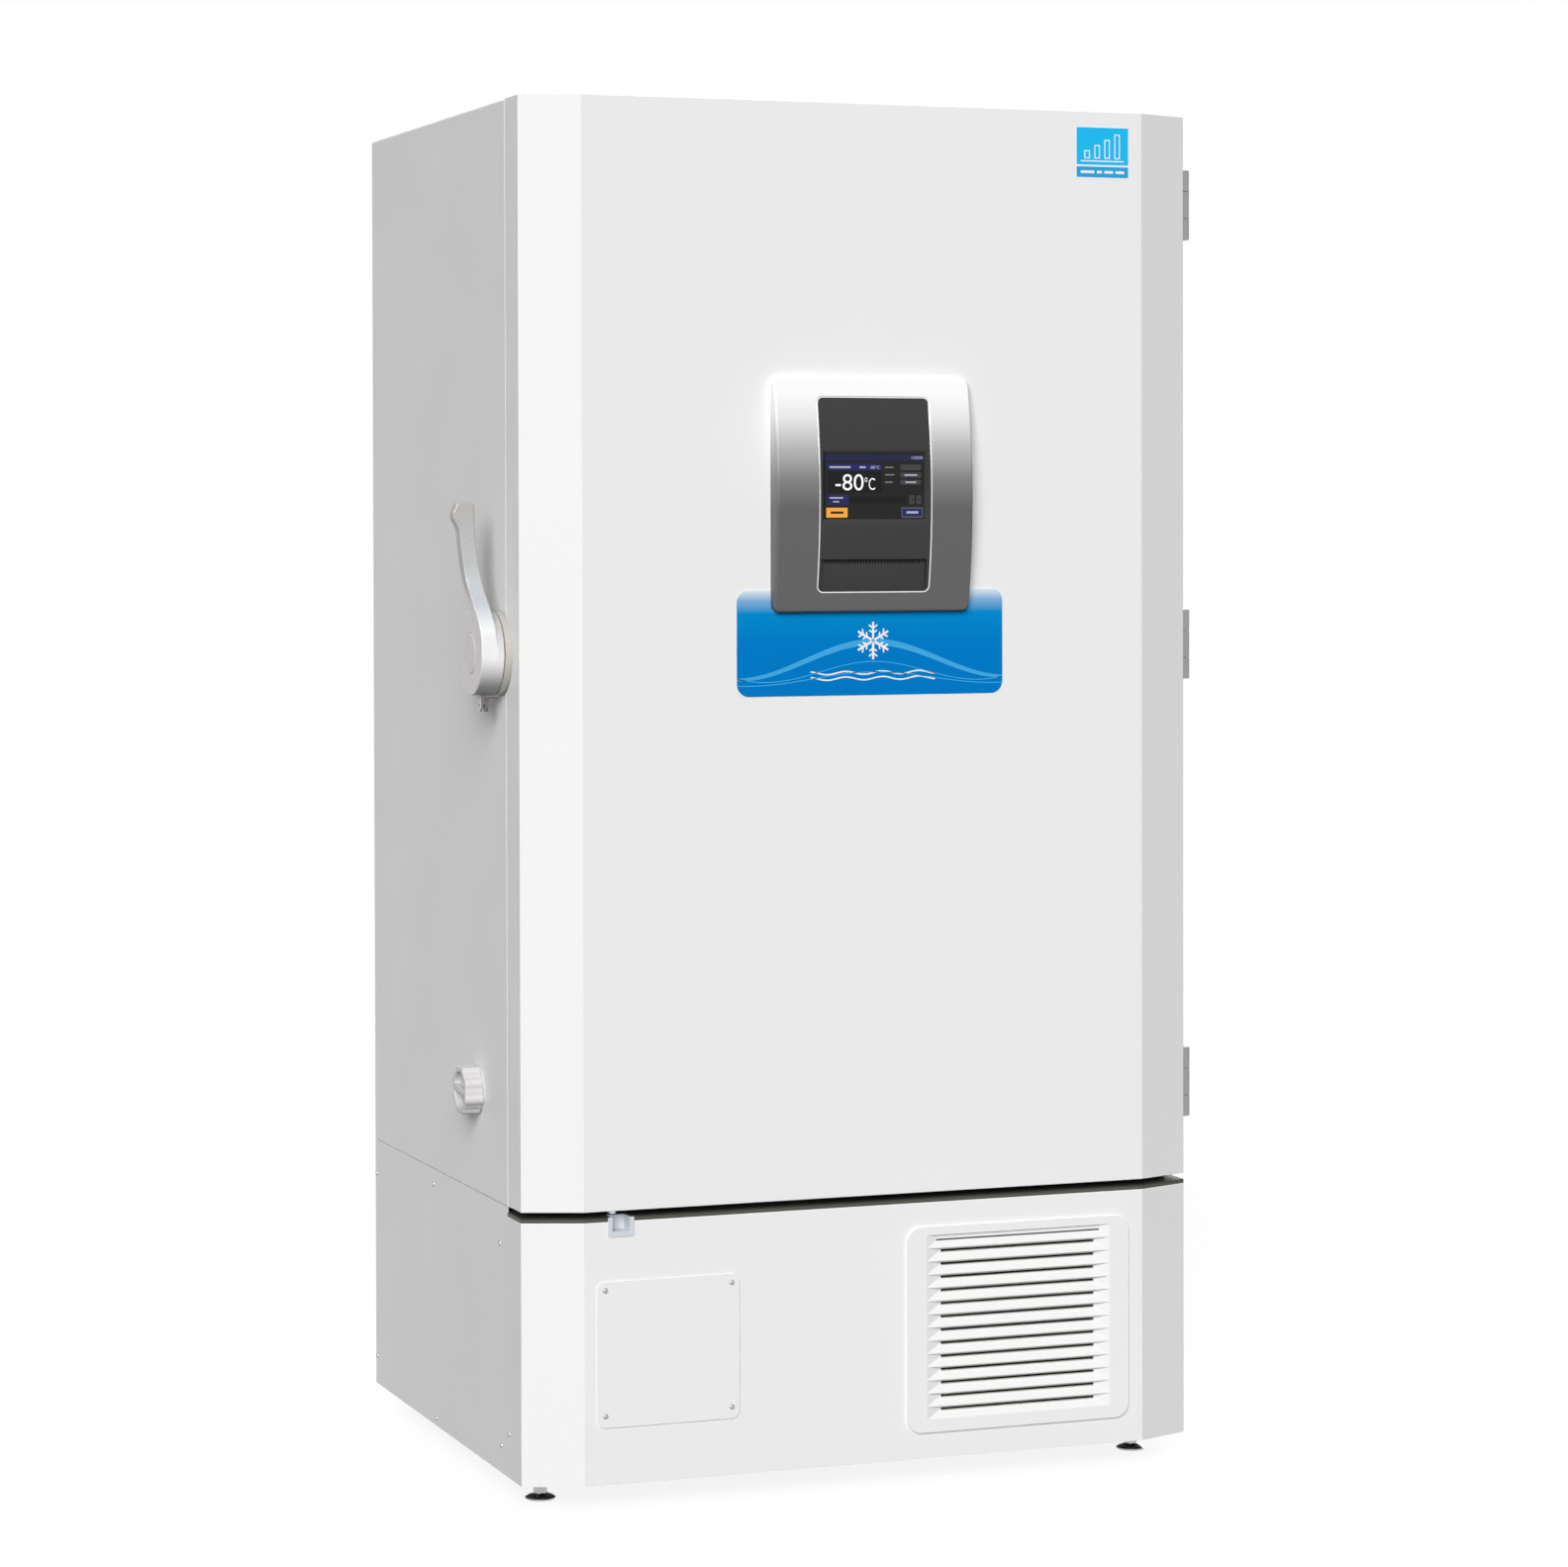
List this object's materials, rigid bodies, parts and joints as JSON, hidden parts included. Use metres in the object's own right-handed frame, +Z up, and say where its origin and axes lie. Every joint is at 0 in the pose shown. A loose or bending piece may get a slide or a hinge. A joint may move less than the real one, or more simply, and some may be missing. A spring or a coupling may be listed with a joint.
{
  "type": "ultra low temperature freezer",
  "caption": "Upright laboratory freezer with a facet-edged insulated door, side latch lever, control panel, inner doors, shelves and a louvred machine base.",
  "frame": {"origin": "on the floor under the middle of the overall box", "axes": "+Z up, front towards -Y, hinges at +X"},
  "size_m": [1.13, 0.912, 1.993],
  "materials": {
    "white_paint": "powder coat, fine satin",
    "grey_paint": "grey powder coat, satin",
    "foam": "rigid polyurethane foam",
    "vacuum_film": "foil film",
    "copper": "drawn copper tube",
    "steel": "brushed stainless steel",
    "light_plastic": "moulded, fine grain",
    "pocket_plastic": "moulded, fine grain",
    "dark_plastic": "moulded, satin",
    "seal": "extruded grey elastomer",
    "filter_mesh": "woven mesh in a frame",
    "fin_metal": "thin fins",
    "black_paint": "black enamel",
    "bezel_silver": "silver paint, satin",
    "bright_trim": "bright",
    "screen_glass": "touch screen",
    "blue_plate": "printed film",
    "cast_silver": "die cast, silver paint",
    "wheel_rubber": "moulded wheel"
  },
  "bodies": {
    "cabinet": {"cabinet_shell": "white_paint", "cabinet_back": "white_paint", "insulation_foam": "foam", "vacuum_panels": "vacuum_film", "evaporator_coil": "copper", "inner_liner": "steel", "breaker_frame": "light_plastic", "shelf_tracks": "steel", "shelves": "steel", "cabinet_hinges": "grey_paint", "inner_hinge_pins": "steel", "strike_pin": "steel", "vent_sleeve": "light_plastic", "base_chassis": "white_paint", "base_side_panels": "white_paint", "base_front_panel": "white_paint", "base_rear_panel": "white_paint", "blank_plate": "white_paint", "panel_screws": "steel", "key_pocket": "pocket_plastic", "air_filter": "filter_mesh", "condenser_coil": "fin_metal", "fan_shroud": "grey_paint", "fan_motor": "black_paint", "compressors": "black_paint", "refrigerant_pipes": "copper", "heat_exchanger": "dark_plastic", "control_box": "steel", "power_inlet": "dark_plastic", "rear_spacers": "white_paint", "caster_brackets": "steel"},
    "door": {"door_skin": "white_paint", "door_insulation": "foam", "door_liner": "light_plastic", "door_gasket": "seal", "door_hinges": "grey_paint", "latch_base": "cast_silver", "control_bezel": "bezel_silver", "control_panel": "dark_plastic", "panel_trim": "bright_trim", "touch_screen": "screen_glass", "info_plate": "blue_plate"},
    "key": {"key_lock": "steel"},
    "lever": {"latch_lever": "cast_silver", "latch_cap": "cast_silver"},
    "inner_upper": {"inner_door_upper": "light_plastic", "inner_gasket_upper": "seal"},
    "inner_lower": {"inner_door_lower": "light_plastic", "inner_gasket_lower": "seal"},
    "inner_handle_upper": {"inner_latch_upper": "light_plastic"},
    "inner_handle_lower": {"inner_latch_lower": "light_plastic"},
    "fan": {"condenser_fan": "dark_plastic"},
    "port_cap": {"vent_cap": "light_plastic"},
    "grille": {"intake_grille": "white_paint"},
    "wheel_front_left": {"wheel_front_left": "wheel_rubber"},
    "wheel_front_right": {"wheel_front_right": "wheel_rubber"},
    "wheel_rear_left": {"wheel_rear_left": "wheel_rubber"},
    "wheel_rear_right": {"wheel_rear_right": "wheel_rubber"},
    "foot_left": {"foot_left": "steel"},
    "foot_right": {"foot_right": "steel"}
  },
  "joints": [
    {"name": "door_swing", "type": "hinge", "parent": "cabinet", "child": "door", "pos_m": [0.554, -0.356, 1.208], "axis": [0, 0, 1], "range_deg": [0, 115]},
    {"name": "latch_turn", "type": "hinge", "parent": "door", "child": "lever", "pos_m": [-0.522, -0.305, 1.208], "axis": [1, 0, 0], "range_deg": [0, 90]},
    {"name": "key_turn", "type": "hinge", "parent": "door", "child": "key", "pos_m": [-0.362, -0.406, 0.44], "axis": [0, 0, 1], "range_deg": [0, 90]},
    {"name": "inner_upper_swing", "type": "hinge", "parent": "cabinet", "child": "inner_upper", "pos_m": [0.468, -0.325, 1.5715], "axis": [0, 0, 1], "range_deg": [0, 96]},
    {"name": "inner_latch_upper_turn", "type": "hinge", "parent": "inner_upper", "child": "inner_handle_upper", "pos_m": [-0.386, -0.325, 1.5715], "axis": [0, 1, 0], "range_deg": [0, 90]},
    {"name": "inner_lower_swing", "type": "hinge", "parent": "cabinet", "child": "inner_lower", "pos_m": [0.468, -0.325, 0.8545], "axis": [0, 0, 1], "range_deg": [0, 96]},
    {"name": "inner_latch_lower_turn", "type": "hinge", "parent": "inner_lower", "child": "inner_handle_lower", "pos_m": [-0.386, -0.325, 0.8545], "axis": [0, 1, 0], "range_deg": [0, 90]},
    {"name": "fan_spin", "type": "hinge", "parent": "cabinet", "child": "fan", "pos_m": [0.2555, -0.244, 0.229], "axis": [0, 1, 0], "continuous": true},
    {"name": "port_cap_turn", "type": "hinge", "parent": "cabinet", "child": "port_cap", "pos_m": [-0.494, -0.184, 0.572], "axis": [1, 0, 0], "range_deg": [0, 90]},
    {"name": "grille_pull", "type": "slide", "parent": "cabinet", "child": "grille", "axis": [0, -1, 0], "range_m": [0, 0.12]},
    {"name": "wheel_front_left_spin", "type": "hinge", "parent": "cabinet", "child": "wheel_front_left", "pos_m": [-0.397, -0.116, 0.03], "axis": [1, 0, 0], "continuous": true},
    {"name": "wheel_front_right_spin", "type": "hinge", "parent": "cabinet", "child": "wheel_front_right", "pos_m": [0.443, -0.116, 0.03], "axis": [1, 0, 0], "continuous": true},
    {"name": "wheel_rear_left_spin", "type": "hinge", "parent": "cabinet", "child": "wheel_rear_left", "pos_m": [-0.397, 0.314, 0.027], "axis": [1, 0, 0], "continuous": true},
    {"name": "wheel_rear_right_spin", "type": "hinge", "parent": "cabinet", "child": "wheel_rear_right", "pos_m": [0.443, 0.314, 0.027], "axis": [1, 0, 0], "continuous": true},
    {"name": "foot_left_level", "type": "slide", "parent": "cabinet", "child": "foot_left", "axis": [0, 0, 1], "range_m": [-0.008, 0.01]},
    {"name": "foot_right_level", "type": "slide", "parent": "cabinet", "child": "foot_right", "axis": [0, 0, 1], "range_m": [-0.008, 0.01]}
  ],
  "couplings": [
    {"joint": "inner_upper_swing", "follows": "door_swing", "ratio": 0.83},
    {"joint": "inner_lower_swing", "follows": "door_swing", "ratio": 0.83}
  ]
}
